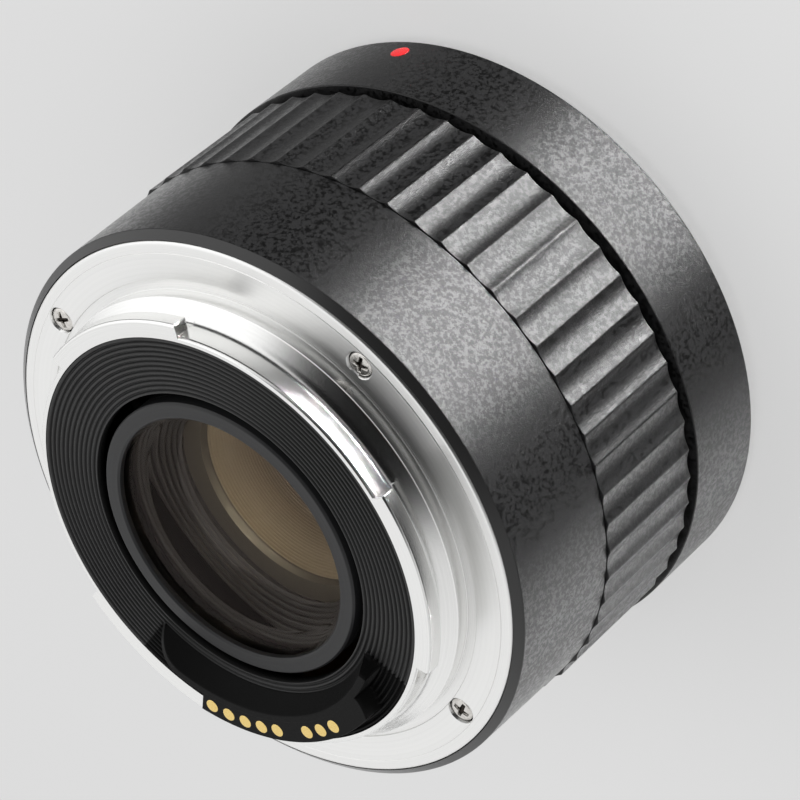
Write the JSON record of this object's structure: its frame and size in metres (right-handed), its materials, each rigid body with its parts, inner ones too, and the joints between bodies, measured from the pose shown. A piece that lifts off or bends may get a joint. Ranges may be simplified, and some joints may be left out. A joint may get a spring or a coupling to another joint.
{
  "type": "camera teleconverter",
  "caption": "Black camera teleconverter with a fluted grip, satin chrome bayonets, gold contacts, ridged baffle, coated glass and a sprung lens release.",
  "frame": {"origin": "centre of the lens-side mount face, on the optical axis", "axes": "+Z along the optical axis to the camera, +Y to the top index dot, +X to the right as seen from the camera side"},
  "size_m": [0.0706, 0.0689, 0.0513],
  "materials": {
    "black_crystal_paint": "crystal",
    "black_anodised": "matt anodised",
    "satin_chrome": "satin",
    "screw_steel": "satin",
    "black_plastic": "matt",
    "gold_contact": "gold plated",
    "red_paint": "gloss",
    "coated_glass": "coated",
    "spring_bronze": "satin",
    "circuit_laminate": "satin",
    "chip_resin": "matt",
    "amber_film": "gloss"
  },
  "bodies": {
    "converter_body": {"front_collar": "black_crystal_paint", "grip_sleeve": "black_crystal_paint", "rear_barrel": "black_crystal_paint", "main_chassis": "black_anodised", "optics_tube": "black_anodised", "front_spacer": "black_anodised", "rear_spacer": "black_anodised", "front_retaining_ring": "black_anodised", "rear_retaining_ring": "black_anodised", "camera_bayonet": "satin_chrome", "lens_bayonet": "satin_chrome", "camera_bayonet_screws": "screw_steel", "rear_baffle_screws": "screw_steel", "contact_block_screws": "screw_steel", "optics_tube_screws": "screw_steel", "lens_bayonet_screws": "screw_steel", "light_shield_screws": "screw_steel", "front_block_screws": "screw_steel", "lock_spring": "screw_steel", "rear_baffle": "black_plastic", "contact_block": "black_plastic", "front_light_shield": "black_plastic", "front_contact_block": "black_plastic", "rear_contacts": "gold_contact", "lens_index_dot": "red_paint", "camera_index_dot": "red_paint", "front_crown": "coated_glass", "front_flint": "coated_glass", "middle_element": "coated_glass", "rear_meniscus": "coated_glass", "rear_element": "coated_glass", "mount_springs": "spring_bronze", "contact_spring_1": "spring_bronze", "contact_spring_2": "spring_bronze", "contact_spring_3": "spring_bronze", "contact_spring_4": "spring_bronze", "contact_spring_5": "spring_bronze", "contact_spring_6": "spring_bronze", "contact_spring_7": "spring_bronze", "contact_spring_8": "spring_bronze", "circuit_board": "circuit_laminate", "control_chips": "chip_resin", "flex_circuit": "amber_film"},
    "lens_release": {"release_slider": "black_plastic", "lock_pin": "screw_steel"},
    "contact_probe_1": {"contact_pin_1": "gold_contact"},
    "contact_probe_2": {"contact_pin_2": "gold_contact"},
    "contact_probe_3": {"contact_pin_3": "gold_contact"},
    "contact_probe_4": {"contact_pin_4": "gold_contact"},
    "contact_probe_5": {"contact_pin_5": "gold_contact"},
    "contact_probe_6": {"contact_pin_6": "gold_contact"},
    "contact_probe_7": {"contact_pin_7": "gold_contact"},
    "contact_probe_8": {"contact_pin_8": "gold_contact"}
  },
  "joints": [
    {"name": "release_slide", "type": "slide", "parent": "converter_body", "child": "lens_release", "axis": [0, 0, 1], "range_m": [0, 0.002], "stiffness_N_per_m": 200, "springref_m": -0.003, "deforming": ["lock_spring"]},
    {"name": "contact_press_1", "type": "slide", "parent": "converter_body", "child": "contact_probe_1", "axis": [0, 0, 1], "range_m": [0, 0.001], "stiffness_N_per_m": 150, "springref_m": -0.002, "deforming": ["contact_spring_1"]},
    {"name": "contact_press_2", "type": "slide", "parent": "converter_body", "child": "contact_probe_2", "axis": [0, 0, 1], "range_m": [0, 0.001], "stiffness_N_per_m": 150, "springref_m": -0.002, "deforming": ["contact_spring_2"]},
    {"name": "contact_press_3", "type": "slide", "parent": "converter_body", "child": "contact_probe_3", "axis": [0, 0, 1], "range_m": [0, 0.001], "stiffness_N_per_m": 150, "springref_m": -0.002, "deforming": ["contact_spring_3"]},
    {"name": "contact_press_4", "type": "slide", "parent": "converter_body", "child": "contact_probe_4", "axis": [0, 0, 1], "range_m": [0, 0.001], "stiffness_N_per_m": 150, "springref_m": -0.002, "deforming": ["contact_spring_4"]},
    {"name": "contact_press_5", "type": "slide", "parent": "converter_body", "child": "contact_probe_5", "axis": [0, 0, 1], "range_m": [0, 0.001], "stiffness_N_per_m": 150, "springref_m": -0.002, "deforming": ["contact_spring_5"]},
    {"name": "contact_press_6", "type": "slide", "parent": "converter_body", "child": "contact_probe_6", "axis": [0, 0, 1], "range_m": [0, 0.001], "stiffness_N_per_m": 150, "springref_m": -0.002, "deforming": ["contact_spring_6"]},
    {"name": "contact_press_7", "type": "slide", "parent": "converter_body", "child": "contact_probe_7", "axis": [0, 0, 1], "range_m": [0, 0.001], "stiffness_N_per_m": 150, "springref_m": -0.002, "deforming": ["contact_spring_7"]},
    {"name": "contact_press_8", "type": "slide", "parent": "converter_body", "child": "contact_probe_8", "axis": [0, 0, 1], "range_m": [0, 0.001], "stiffness_N_per_m": 150, "springref_m": -0.002, "deforming": ["contact_spring_8"]}
  ]
}
